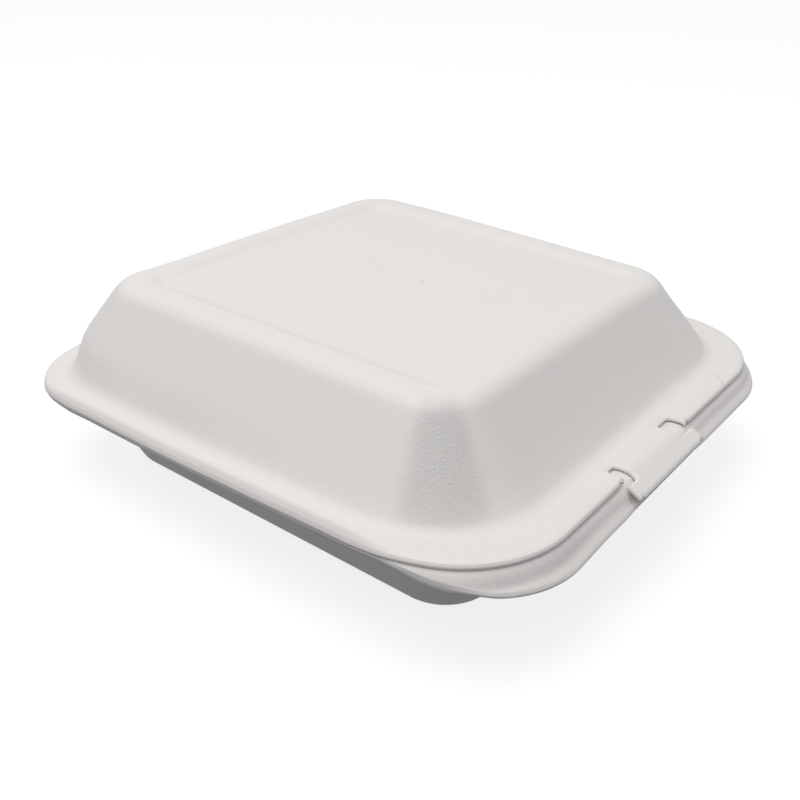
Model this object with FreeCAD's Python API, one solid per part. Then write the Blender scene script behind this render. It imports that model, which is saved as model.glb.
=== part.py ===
import FreeCAD, Part
import math
import os

# Foam clamshell container, closed. Millimetres, +Z up, the latch at -Y and the
# hinge at +Y. The origin is the middle of the bounding box, on the table.
# Base and lid are skins of one thickness: a section that is swept round a
# rectangle with round corners, then cut to its outline as a die would cut it.

# Overall sizes
container_depth = 253.0
container_height = 82.5
sheet = 2.1
fit_gap = 0.3

# Lid, seen from above
lid_width = 234.0
lid_front_setback = 7.6
rim_radius = 45.0
crest_side_setback = 39.1
crest_front_setback = 53.2
crest_back_setback = 37.5
crest_radius = 13.5

# Lid section
panel_depth = 2.0
panel_slope_run = 4.5
panel_slope_radius = 11.3
crest_land = 2.5
lid_shoulder_radius = 10.5
lid_wall_reach = 26.0
lid_cove_radius = 7.0

# Base, seen from above
base_side_inset = 0.5
base_front_inset = 2.0
foot_side_setback = 37.5
foot_front_setback = 45.3
foot_back_setback = 35.5
foot_radius = 15.1

# Base section
base_height = 46.0
base_wall_reach = 21.7
base_heel_radius = 7.0
base_cove_radius = 4.0
foot_land = 5.0
floor_rise = 1.8
floor_slope_run = 5.0
floor_slope_radius = 9.0

# Rim: flat flange, then a lip that turns down and flares out again
rim_curl_inset = 3.0
rim_flat = 1.5
rim_curl_radius = 4.0
lip_angle = 62.0
lip_step_height = 6.2
lip_flare_radius = 2.5
lip_flare_angle = 18.0
hinge_flat = 2.5

# Latch: a tongue of the lid between two slots, bent down over a saddle that
# the base's lip has there, with a slit of the lip at each end of the saddle
latch_offset = -7.0
neck_offset = -9.0
neck_width = 34.0
tongue_width = 53.0
slot_span = 52.0
slot_depth = 8.0
slot_corner = 3.0
ear_length = 6.0
ear_corner = 1.8
saddle_width = 50.0
saddle_flat = 2.5
saddle_radius = 8.0
saddle_angle = 28.0
slit_width = 1.2
slit_depth = 3.0

# Hinge: a thin web left where the sheet is creased
web_thickness = 0.6
web_height = 1.5
web_end_inset = 3.0

# Places that follow from the sizes
front = -container_depth / 2
back = container_depth / 2
rim_back = back - web_thickness
lid_front = front + lid_front_setback
flange_under = base_height + fit_gap
flange_top = flange_under + sheet


class Corners:
    """Centres of the four corner arcs that a section turns about."""

    def __init__(self, half_x, front_y, back_y):
        self.half_x = half_x
        self.front_y = front_y
        self.back_y = back_y


lid_corners = Corners(
    lid_width / 2 - crest_side_setback - crest_radius,
    front + crest_front_setback + crest_radius,
    back - crest_back_setback - crest_radius,
)
base_corners = Corners(
    lid_width / 2 - foot_side_setback - foot_radius,
    front + foot_front_setback + foot_radius,
    back - foot_back_setback - foot_radius,
)
rim_corners = Corners(
    lid_width / 2 - rim_radius,
    lid_front + rim_radius,
    rim_back + hinge_flat - rim_radius,
)


def offset_chain(chain, distance):
    """The parallel of a chain of (run, height, radius) points, to its right."""
    lines = []
    for (d0, z0, _), (d1, z1, _) in zip(chain, chain[1:]):
        length = math.hypot(d1 - d0, z1 - z0)
        normal = ((z1 - z0) / length, (d0 - d1) / length)
        lines.append((d0 + normal[0] * distance, z0 + normal[1] * distance, d1 - d0, z1 - z0))
    first, last = lines[0], lines[-1]
    result = [(first[0], first[1], 0.0)]
    for (ax, az, au, aw), (bx, bz, bu, bw), (_, _, radius) in zip(lines, lines[1:], chain[1:]):
        cross = au * bw - aw * bu
        share = ((bx - ax) * bw - (bz - az) * bu) / cross
        turn = 1.0 if cross > 0 else -1.0
        result.append((ax + au * share, az + aw * share, radius + turn * distance))
    result.append((last[0] + last[2], last[1] + last[3], 0.0))
    return result


def chain_edges(chain):
    """Lines and tangent arcs of a chain, in the X-Z plane."""
    edges = []
    start = FreeCAD.Vector(chain[0][0], 0, chain[0][1])
    for before, here, after in zip(chain, chain[1:], chain[2:]):
        corner = FreeCAD.Vector(here[0], 0, here[1])
        if here[2] == 0:
            edges.append(Part.LineSegment(start, corner).toShape())
            start = corner
            continue
        inward = (FreeCAD.Vector(before[0], 0, before[1]) - corner).normalize()
        outward = (FreeCAD.Vector(after[0], 0, after[1]) - corner).normalize()
        half = inward.getAngle(outward) / 2
        tangent = here[2] / math.tan(half)
        middle = (inward + outward).normalize() * (here[2] / math.sin(half) - here[2])
        first, last = corner + inward * tangent, corner + outward * tangent
        edges.append(Part.LineSegment(start, first).toShape())
        edges.append(Part.Arc(first, corner + middle, last).toShape())
        start = last
    edges.append(Part.LineSegment(start, FreeCAD.Vector(chain[-1][0], 0, chain[-1][1])).toShape())
    return edges


def section_between(top_chain, under_chain):
    """A face between two chains, closed by a line at each end."""
    ends = []
    for upper, lower in ((top_chain[0], under_chain[0]), (top_chain[-1], under_chain[-1])):
        a = FreeCAD.Vector(upper[0], 0, upper[1])
        b = FreeCAD.Vector(lower[0], 0, lower[1])
        ends.append(Part.LineSegment(a, b).toShape())
    edges = chain_edges(top_chain) + chain_edges(under_chain) + ends
    return Part.Face(Part.Wire(Part.__sortEdges__(edges)))


def skin_section(top_chain):
    """A face of one sheet thickness that lies under a chain."""
    return section_between(top_chain, offset_chain(top_chain, sheet))


def swept(face, corners, with_centre):
    """Sweep a section round the corner centres: four turns and four runs."""
    x, y0, y1 = corners.half_x, corners.front_y, corners.back_y
    stations = (
        (FreeCAD.Vector(x, y0, 0), 0, FreeCAD.Vector(0, y1 - y0, 0)),
        (FreeCAD.Vector(x, y1, 0), 90, FreeCAD.Vector(-2 * x, 0, 0)),
        (FreeCAD.Vector(-x, y1, 0), 180, FreeCAD.Vector(0, y0 - y1, 0)),
        (FreeCAD.Vector(-x, y0, 0), 270, FreeCAD.Vector(2 * x, 0, 0)),
    )
    up = FreeCAD.Vector(0, 0, 1)
    pieces = []
    for centre, angle, run in stations:
        placed = face.copy()
        placed.rotate(FreeCAD.Vector(0, 0, 0), up, angle)
        placed.translate(centre)
        pieces.append(placed.extrude(run))
        pieces.append(placed.revolve(centre, up, -90))
    if with_centre:
        box = face.BoundBox
        middle = [v.Point.z for v in face.Vertexes if abs(v.Point.x - box.XMin) < 1e-6]
        plate = Part.makeBox(2 * x, y1 - y0, max(middle) - min(middle), FreeCAD.Vector(-x, y0, min(middle)))
        pieces.append(plate)
    return pieces[0].multiFuse(pieces[1:]).removeSplitter()


def outline_prism(half_x, y0, y1, radius, z0, z1):
    """A prism on a rectangle with round corners, to trim a skin with."""
    box = Part.makeBox(2 * half_x, y1 - y0, z1 - z0, FreeCAD.Vector(-half_x, y0, z0))
    upright = [e for e in box.Edges if abs(e.tangentAt(e.FirstParameter).z) > 0.9]
    return box.makeFillet(radius, upright)


def flat_prism(points, z0, z1):
    """A prism on a closed chain of (x, y, radius) plan points."""
    edges = []
    count = len(points)
    ends = []
    for index in range(count):
        bx, by, _ = points[index - 1]
        x, y, radius = points[index]
        ax, ay, _ = points[(index + 1) % count]
        corner = FreeCAD.Vector(x, y, z0)
        inward = (FreeCAD.Vector(bx, by, z0) - corner).normalize()
        outward = (FreeCAD.Vector(ax, ay, z0) - corner).normalize()
        if radius == 0:
            ends.append((corner, corner, None))
            continue
        half = inward.getAngle(outward) / 2
        tangent = radius / math.tan(half)
        middle = (inward + outward).normalize() * (radius / math.sin(half) - radius)
        ends.append((corner + inward * tangent, corner + outward * tangent, corner + middle))
    for index, (first, last, middle) in enumerate(ends):
        if middle is not None:
            edges.append(Part.Arc(first, middle, last).toShape())
        following = ends[(index + 1) % count][0]
        edges.append(Part.LineSegment(last, following).toShape())
    return Part.Face(Part.Wire(edges)).extrude(FreeCAD.Vector(0, 0, z1 - z0))


rim_curl = rim_radius - rim_curl_inset
rim_start = rim_curl - rim_flat
rim_knee = rim_curl + rim_curl_radius * math.tan(math.radians(lip_angle / 2))
rim_edge = rim_corners.front_y - front - base_front_inset
rim_end = rim_edge + 2 * sheet


def lip_height(run):
    """Height of the flared part of the base's lip, at a run from the centres."""
    toe = rim_knee + lip_step_height / math.tan(math.radians(lip_angle))
    return base_height - lip_step_height - (run - toe) * math.tan(math.radians(lip_flare_angle))


def rim_chain():
    """Top of the base's rim: flat, curl, steep lip and flare."""
    toe = rim_knee + lip_step_height / math.tan(math.radians(lip_angle))
    return [
        (rim_start, base_height, 0.0),
        (rim_knee, base_height, rim_curl_radius),
        (toe, lip_height(toe), lip_flare_radius),
        (rim_end, lip_height(rim_end), 0.0),
    ]


def saddle_chain(start_run):
    """Top of the saddle: flat, then down in a straight and gentle fall."""
    knee = rim_start + saddle_flat
    fall = (rim_end - knee) * math.tan(math.radians(saddle_angle))
    return [
        (start_run, base_height, 0.0),
        (knee, base_height, saddle_radius),
        (rim_end, base_height - fall, 0.0),
    ]


def front_band(face, half_width):
    """Extrude a section of the front rim along X, about the latch's middle."""
    placed = face.copy()
    placed.rotate(FreeCAD.Vector(0, 0, 0), FreeCAD.Vector(0, 0, 1), -90)
    placed.translate(FreeCAD.Vector(latch_offset - half_width, rim_corners.front_y, 0))
    return placed.extrude(FreeCAD.Vector(2 * half_width, 0, 0))


def rim_plan(corners, inset):
    """Half width, front, back and radius of a line inside the rim's centres."""
    return corners.half_x + inset, corners.front_y - inset, corners.back_y + inset, inset


def make_lid():
    """Lid: recessed panel, crest, sloped wall, cove and flange with its curl."""
    slope = math.atan2(container_height - flange_top, lid_wall_reach)
    panel_z = container_height - panel_depth
    shoulder = crest_radius + lid_shoulder_radius * math.tan(slope / 2)
    inner_angle = math.atan2(panel_depth, panel_slope_run)
    inner_top = crest_radius - crest_land - panel_slope_radius * math.tan(inner_angle / 2)
    wall_foot = shoulder + lid_wall_reach
    chain = [
        (0.0, panel_z, 0.0),
        (inner_top - panel_slope_run, panel_z, panel_slope_radius),
        (inner_top, container_height, panel_slope_radius),
        (shoulder, container_height, lid_shoulder_radius),
        (wall_foot, flange_top, lid_cove_radius),
        (wall_foot + rim_radius, flange_top, 0.0),
    ]
    bowl = swept(skin_section(chain), lid_corners, True)
    bowl = bowl.common(outline_prism(*rim_plan(rim_corners, rim_start), 0, container_height + sheet))
    section = skin_section(offset_chain(rim_chain(), -fit_gap - sheet))
    lid = bowl.fuse(swept(section, rim_corners, False)).removeSplitter()
    outline = outline_prism(lid_width / 2, lid_front, rim_back, rim_radius, 0, container_height + sheet)
    lid = lid.common(outline).cut(slot_prism())
    return lid.fuse(make_tongue()).removeSplitter()


def make_tongue():
    """Tongue: a neck from the flange that widens into two ears over the saddle."""
    inner = lid_front + slot_depth
    chain = saddle_chain(rim_corners.front_y - inner)
    band = front_band(skin_section(offset_chain(chain, -fit_gap - sheet)), tongue_width)
    neck, ear = neck_width / 2, tongue_width / 2
    ear_y = front + ear_length
    plan = [
        (neck_offset - neck, inner, 0),
        (neck_offset - neck, ear_y, ear_corner),
        (latch_offset - ear, ear_y, ear_corner),
        (latch_offset - ear, front, ear_corner),
        (latch_offset + ear, front, ear_corner),
        (latch_offset + ear, ear_y, ear_corner),
        (neck_offset + neck, ear_y, ear_corner),
        (neck_offset + neck, inner, 0),
    ]
    return band.common(flat_prism(plan, 0, container_height))


def slot_prism():
    """Room for the tongue: the neck's strip and a slot at each side of it."""
    inner = lid_front + slot_depth
    outer = lid_front - sheet
    half = slot_span / 2
    points = [
        (latch_offset - half, inner, slot_corner),
        (latch_offset - half, outer, 0),
        (latch_offset + half, outer, 0),
        (latch_offset + half, inner, slot_corner),
    ]
    return flat_prism(points, 0, container_height)


def make_base():
    """Base: raised floor, foot ring, sloped wall, cove and flange with its lip."""
    slope = math.atan2(base_height - sheet, base_wall_reach)
    inner_angle = math.atan2(floor_rise, floor_slope_run)
    heel = foot_radius + base_heel_radius * math.tan(slope / 2)
    ring = foot_radius - foot_land - floor_slope_radius * math.tan(inner_angle / 2)
    mouth = heel + base_wall_reach
    under = [
        (0.0, floor_rise, 0.0),
        (ring - floor_slope_run, floor_rise, floor_slope_radius),
        (ring, 0.0, floor_slope_radius),
        (heel, 0.0, base_heel_radius),
        (mouth, base_height - sheet, base_cove_radius),
        (mouth + rim_radius, base_height - sheet, 0.0),
    ]
    bowl = swept(skin_section(offset_chain(under, -sheet)), base_corners, True)
    bowl = bowl.common(outline_prism(*rim_plan(rim_corners, rim_start), -sheet, container_height))
    rim = swept(skin_section(rim_chain()), rim_corners, False)
    half = saddle_width / 2
    span = Part.makeBox(saddle_width, rim_end - rim_start, base_height + sheet)
    span.translate(FreeCAD.Vector(latch_offset - half, rim_corners.front_y - rim_end, 0))
    saddle = section_between(saddle_chain(rim_start), offset_chain(rim_chain(), sheet))
    saddle = front_band(saddle, half)
    base = bowl.multiFuse([rim.cut(span), saddle]).removeSplitter()
    half_x = lid_width / 2 - base_side_inset
    lip_front = front + base_front_inset
    base = base.common(outline_prism(half_x, lip_front, rim_back, rim_radius, -sheet, container_height))
    for x in (latch_offset - half - slit_width, latch_offset + half):
        corner = FreeCAD.Vector(x, lip_front - sheet, 0)
        base = base.cut(Part.makeBox(slit_width, slit_depth + sheet, base_height + sheet, corner))
    return base.removeSplitter()


def make_web():
    """Hinge web: a thin strip that joins the back edges of base and lid."""
    half = rim_corners.half_x - web_end_inset
    z0 = base_height + fit_gap / 2 - web_height / 2
    return Part.makeBox(2 * half, web_thickness, web_height, FreeCAD.Vector(-half, rim_back, z0))


def main():
    os.makedirs("parts", exist_ok=True)
    nodes = {"base": make_base(), "lid": make_lid(), "living_hinge": make_web()}
    for name, shape in nodes.items():
        solid = shape.Solids[0] if len(shape.Solids) == 1 else shape
        box = solid.BoundBox
        print(name, "valid", solid.isValid(), "solids", len(shape.Solids), "volume", round(solid.Volume),
              "box", [round(v, 2) for v in (box.XMin, box.YMin, box.ZMin, box.XMax, box.YMax, box.ZMax)])
        solid.exportStep("parts/" + name + ".step")


main()
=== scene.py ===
import logging
import math
from dataclasses import dataclass, field
from enum import Enum

import bpy
import numpy as np
from mathutils import Matrix, Vector


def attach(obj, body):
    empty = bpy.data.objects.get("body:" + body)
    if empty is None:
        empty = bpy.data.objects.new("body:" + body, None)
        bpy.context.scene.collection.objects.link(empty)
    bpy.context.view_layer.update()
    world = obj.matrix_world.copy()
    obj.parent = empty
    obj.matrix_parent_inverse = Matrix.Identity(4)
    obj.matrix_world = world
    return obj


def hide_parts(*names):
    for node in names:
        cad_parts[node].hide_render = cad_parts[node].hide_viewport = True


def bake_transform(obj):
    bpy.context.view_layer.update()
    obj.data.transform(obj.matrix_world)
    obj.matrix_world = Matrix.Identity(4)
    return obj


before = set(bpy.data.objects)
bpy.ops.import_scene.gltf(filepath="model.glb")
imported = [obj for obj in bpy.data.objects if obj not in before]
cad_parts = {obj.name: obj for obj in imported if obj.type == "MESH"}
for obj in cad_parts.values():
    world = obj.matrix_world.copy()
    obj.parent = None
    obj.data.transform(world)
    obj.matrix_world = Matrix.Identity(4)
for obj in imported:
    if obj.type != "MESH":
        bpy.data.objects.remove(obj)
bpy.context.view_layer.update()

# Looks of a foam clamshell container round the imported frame. Metres, +Z up,
# latch at -Y, hinge at +Y. Both halves are skins of one thickness that follow
# the same sections as the solids, with rounded edges, a crisper fold round the
# panel and the sag of soft foam.

LOG = logging.getLogger("clamshell")

SHEET = 0.0021
FIT_GAP = 0.0003
HEIGHT = 0.0825
BASE_HEIGHT = 0.0460
HALF_WIDTH = 0.117
LID_FRONT = -0.1189
LIP_FRONT = -0.1245
RIM_BACK = 0.1259
RIM_RADIUS = 0.045
FLANGE_TOP = BASE_HEIGHT + FIT_GAP + SHEET

RIM_START = 0.0411
RIM_KNEE = 0.0444
CURL_RADIUS = 0.004
LIP_ANGLE = math.radians(62.0)
LIP_STEP = 0.0062
FLARE_RADIUS = 0.0025
FLARE_ANGLE = math.radians(18.0)
RIM_EDGE = 0.0506
RIM_END = 0.0548

LATCH_X = -0.007
NECK_LEFT = -0.0190
NECK_RIGHT = 0.0150
SLOT_HALF = 0.0260
EAR_HALF = 0.0265
SADDLE_HALF = 0.025
SLIT_WIDTH = 0.0012
SLIT_DEPTH = 0.003
SLOT_RUN = 0.0370
EAR_RUN = 0.0466
TONGUE_RUN = 0.0526
SADDLE_KNEE = 0.0430
SADDLE_RADIUS = 0.008
SADDLE_ANGLE = math.radians(28.0)

EDGE_SWELL = 0.0004
EDGE_DROP = 0.00042
LATCH_ZONE = 0.034
FOLD_RADIUS = 0.0055


def smooth(value: np.ndarray, low: float, high: float) -> np.ndarray:
    """A soft step.

    Args:
        value: The numbers to grade.
        low: Where the step starts, at 0.
        high: Where the step ends, at 1. It may be below low.

    Returns:
        A number from 0 to 1 for each value.
    """
    share = np.clip((value - low) / (high - low), 0.0, 1.0)
    return share * share * (3.0 - 2.0 * share)


class Half(Enum):
    """The two halves of the container, by their body's name."""

    BASE = "base"
    LID = "lid"


Chain = list[tuple[float, float, float]]


def parallel(chain: Chain, distance: float) -> Chain:
    """The parallel of a section, to its right seen along the run.

    Args:
        chain: Corner points as (run, height, radius).
        distance: How far to the right, negative for the left.

    Returns:
        The corner points of the parallel.
    """
    lines = []
    for (r0, z0, _), (r1, z1, _) in zip(chain, chain[1:]):
        length = math.hypot(r1 - r0, z1 - z0)
        across, down = (z1 - z0) / length, (r0 - r1) / length
        lines.append((r0 + across * distance, z0 + down * distance, r1 - r0, z1 - z0))
    result = [(lines[0][0], lines[0][1], 0.0)]
    for (ar, az, au, aw), (br, bz, bu, bw), corner in zip(lines, lines[1:], chain[1:]):
        cross = au * bw - aw * bu
        share = ((br - ar) * bw - (bz - az) * bu) / cross
        turn = math.copysign(1.0, cross)
        result.append((ar + au * share, az + aw * share, corner[2] + turn * distance))
    last = lines[-1]
    result.append((last[0] + last[2], last[1] + last[3], 0.0))
    return result


def rim_chain() -> Chain:
    """Top of the base's rim: flat, curl, steep lip and flare.

    Returns:
        Corner points as (run, height, radius).
    """
    toe = RIM_KNEE + LIP_STEP / math.tan(LIP_ANGLE)
    low = BASE_HEIGHT - LIP_STEP
    return [
        (RIM_START - 0.012, BASE_HEIGHT, 0.0),
        (RIM_KNEE, BASE_HEIGHT, CURL_RADIUS),
        (toe, low, FLARE_RADIUS),
        (RIM_END, low - (RIM_END - toe) * math.tan(FLARE_ANGLE), 0.0),
    ]


def saddle_chain() -> Chain:
    """Top of the saddle under the tongue: flat, then a straight and gentle fall.

    Returns:
        Corner points as (run, height, radius).
    """
    return [
        (RIM_START - 0.012, BASE_HEIGHT, 0.0),
        (SADDLE_KNEE, BASE_HEIGHT, SADDLE_RADIUS),
        (RIM_END, BASE_HEIGHT - (RIM_END - SADDLE_KNEE) * math.tan(SADDLE_ANGLE), 0.0),
    ]


class Profile:
    """A section that runs outward, with tangent arcs at its corners."""

    def __init__(self, chain: Chain) -> None:
        """Trace the section.

        Args:
            chain: Corner points as (run, height, radius).
        """
        runs, heights, leans = [], [], []

        def add(run: float, height: float, lean: float) -> None:
            """Note one point of the section.

            Args:
                run: How far out it lies.
                height: Its height.
                lean: The section's slope there, in radians.
            """
            runs.append(run)
            heights.append(height)
            leans.append(lean)

        for before, here, after in zip(chain, chain[1:], chain[2:]):
            lean_in = math.atan2(here[1] - before[1], here[0] - before[0])
            lean_out = math.atan2(after[1] - here[1], after[0] - here[0])
            turn = lean_out - lean_in
            reach = abs(here[2] * math.tan(turn / 2))
            side = math.copysign(1.0, turn)
            start_run = here[0] - math.cos(lean_in) * reach
            start_height = here[1] - math.sin(lean_in) * reach
            if not runs:
                add(before[0], before[1], lean_in)
            centre_run = start_run - side * math.sin(lean_in) * here[2]
            centre_height = start_height + side * math.cos(lean_in) * here[2]
            count = max(2, int(abs(math.degrees(turn))))
            for lean in np.linspace(lean_in, lean_out, count + 1):
                add(
                    centre_run + side * math.sin(lean) * here[2],
                    centre_height - side * math.cos(lean) * here[2],
                    lean,
                )
        add(chain[-1][0], chain[-1][1], leans[-1])
        self.runs = np.array(runs)
        self.heights = np.array(heights)
        self.leans = np.array(leans)

    def at(self, run: np.ndarray) -> tuple[np.ndarray, np.ndarray]:
        """Height and lean of the section at some runs.

        Args:
            run: Distances from the corner centres.

        Returns:
            The heights, and the slope angles in radians.
        """
        return np.interp(run, self.runs, self.heights), np.interp(run, self.runs, self.leans)

    def rows(self, start: float, end: float, turn: float, step: float) -> np.ndarray:
        """Runs for grid rows, close together where the section turns.

        Args:
            start: The first row.
            end: The last row.
            turn: Largest turn between two rows, in radians.
            step: Largest distance between two rows.

        Returns:
            The runs in rising order.
        """
        dense = np.linspace(start, end, 2000)
        height, lean = self.at(dense)
        travel = np.hypot(np.diff(dense), np.diff(height)) / step + np.abs(np.diff(lean)) / turn
        total = np.concatenate([[0.0], np.cumsum(travel)])
        count = max(2, int(math.ceil(total[-1])) + 1)
        return np.interp(np.linspace(0.0, total[-1], count), total, dense)


@dataclass(frozen=True)
class Centres:
    """Rectangle of the corner centres that a section is swept about."""

    half_x: float
    front_y: float
    back_y: float


@dataclass(frozen=True)
class Outline:
    """A rectangle with round corners, to which a skin is cut."""

    half_x: float
    front_y: float
    back_y: float
    radius: float

    def excess(self, x: np.ndarray, y: np.ndarray) -> np.ndarray:
        """Signed distance of points outside the outline.

        Args:
            x: Places across.
            y: Places along.

        Returns:
            Distances, negative inside.
        """
        middle = (self.front_y + self.back_y) / 2
        half_y = (self.back_y - self.front_y) / 2
        over_x = np.abs(x) - (self.half_x - self.radius)
        over_y = np.abs(y - middle) - (half_y - self.radius)
        outside = np.hypot(np.maximum(over_x, 0.0), np.maximum(over_y, 0.0))
        return outside + np.minimum(np.maximum(over_x, over_y), 0.0) - self.radius


BOWL_HALF_X = 0.0644
RIM_CENTRES = Centres(HALF_WIDTH - RIM_RADIUS, LID_FRONT + RIM_RADIUS, 0.0834)
STRAIGHT_HALF = 0.04


class Stations:
    """Places round the container at which a section stands, anticlockwise from the latch side."""

    LATCH_REACH = 0.0295
    FINE_STEP = 0.00045
    TONGUE_REACH = 0.0128
    TONGUE_STEP = 0.0016
    LEFT_STEPS = 16
    RIGHT_STEPS = 18
    CORNER_STEPS = 25
    SIDE_STEPS = 44
    BACK_STEPS = 40

    def __init__(self) -> None:
        """Space the stations, close together round the latch and the corners."""
        near = np.arange(-self.LATCH_REACH, self.LATCH_REACH + 0.0001, self.FINE_STEP)
        edges = [-NECK_LEFT, NECK_RIGHT, SLOT_HALF, EAR_HALF, SADDLE_HALF, SADDLE_HALF + SLIT_WIDTH]
        marks = np.array(sorted([-e for e in edges] + edges))
        clear = np.abs(near[:, None] - marks).min(1) > 0.0003
        keep = (np.abs(near) > self.TONGUE_REACH + 0.0007) & clear
        middle = np.arange(-self.TONGUE_REACH, self.TONGUE_REACH + 0.0001, self.TONGUE_STEP)
        latch = np.sort(np.concatenate([near[keep], marks, middle])) + LATCH_X
        left = np.linspace(-RIM_CENTRES.half_x, latch[0], self.LEFT_STEPS)[:-1]
        right = np.linspace(latch[-1], RIM_CENTRES.half_x, self.RIGHT_STEPS)[1:]
        front = np.concatenate([left, latch, right])
        rim, bowl, along, angle = [], [], [], []

        def side(x: np.ndarray, share: np.ndarray, turn: float) -> None:
            """Add the stations of a straight side.

            Args:
                x: Where they stand across.
                share: Where they stand along, from 0 at the latch to 1 at the crease.
                turn: The way they face, in radians.
            """
            far = np.abs(x) - STRAIGHT_HALF
            pull = (BOWL_HALF_X - STRAIGHT_HALF) / (RIM_CENTRES.half_x - STRAIGHT_HALF)
            rim.append(x)
            bowl.append(np.where(far > 0, np.sign(x) * (STRAIGHT_HALF + far * pull), x))
            along.append(share)
            angle.append(np.full(x.shape, turn))

        def corner(x: float, share: float, start: float) -> None:
            """Add the stations of a round corner.

            Args:
                x: 1 for the right side, -1 for the left.
                share: 0 for the latch's end, 1 for the crease's.
                start: The way the first one faces, in radians.
            """
            turns = np.linspace(start, start + math.pi / 2, self.CORNER_STEPS)[1:-1]
            rim.append(np.full(turns.shape, x * RIM_CENTRES.half_x))
            bowl.append(np.full(turns.shape, x * BOWL_HALF_X))
            along.append(np.full(turns.shape, share))
            angle.append(turns)

        share = np.linspace(0.0, 1.0, self.SIDE_STEPS)
        back = np.linspace(RIM_CENTRES.half_x, -RIM_CENTRES.half_x, self.BACK_STEPS)
        side(front, np.zeros(front.shape), -math.pi / 2)
        corner(1.0, 0.0, -math.pi / 2)
        side(np.full(share.shape, RIM_CENTRES.half_x), share, 0.0)
        corner(1.0, 1.0, 0.0)
        side(back, np.ones(back.shape), math.pi / 2)
        corner(-1.0, 1.0, math.pi / 2)
        side(np.full(share.shape, -RIM_CENTRES.half_x), share[::-1], math.pi)
        corner(-1.0, 0.0, math.pi)
        self.rim_x = np.concatenate(rim)
        self.bowl_x = np.concatenate(bowl)
        self.along = np.concatenate(along)
        self.angle = np.concatenate(angle)
        self.front = np.isclose(self.angle, -math.pi / 2)
        self.latch_x = np.where(self.front, self.rim_x - LATCH_X, 1.0)

    def place(self, centres: Centres, x: np.ndarray, run: np.ndarray) -> np.ndarray:
        """Points at some run from the corner centres.

        Args:
            centres: The rectangle of corner centres.
            x: Where each station stands across.
            run: Distance outward for each station.

        Returns:
            Plan points, one row per station.
        """
        y = centres.front_y + self.along * (centres.back_y - centres.front_y)
        return np.stack([x + run * np.cos(self.angle), y + run * np.sin(self.angle)], 1)

    def reach(self, outline: Outline) -> np.ndarray:
        """Run from the rim's centres to an outline.

        Args:
            outline: The outline that the skin is cut to.

        Returns:
            One run for each station.
        """
        low = np.full(self.angle.shape, 0.02)
        high = np.full(self.angle.shape, 0.08)
        for _ in range(40):
            middle = (low + high) / 2
            point = self.place(RIM_CENTRES, self.rim_x, middle)
            inside = outline.excess(point[:, 0], point[:, 1]) < 0
            low = np.where(inside, middle, low)
            high = np.where(inside, high, middle)
        return low


@dataclass(frozen=True)
class Fillet:
    """A corner of a cut-out in the flange, in plan: across from the latch, and run."""

    x: float
    run: float
    toward_x: float
    toward_run: float
    radius: float
    hollow: bool

    def bend(self, x: np.ndarray, run: np.ndarray) -> tuple[np.ndarray, np.ndarray]:
        """Round the corner by moving the points near it.

        Args:
            x: Places across, from the latch's middle.
            run: Runs of the same points.

        Returns:
            The moved places and runs.
        """
        centre_x = self.x + self.toward_x * self.radius
        centre_run = self.run + self.toward_run * self.radius
        dx, dr = x - centre_x, run - centre_run
        inside = (dx * self.toward_x <= 0) & (dr * self.toward_run <= 0)
        square = np.maximum(np.abs(dx), np.abs(dr))
        limit = self.radius * (2.0 if self.hollow else 1.0) + 1e-6
        length = np.hypot(dx, dr)
        scale = np.where(length > 1e-9, square / np.maximum(length, 1e-9), 1.0)
        fade = 1.0 - smooth(square, self.radius, self.radius * 2.0)
        amount = np.where(inside & (square <= limit), fade * (scale - 1.0), 0.0)
        return x + dx * amount, run + dr * amount


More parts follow.
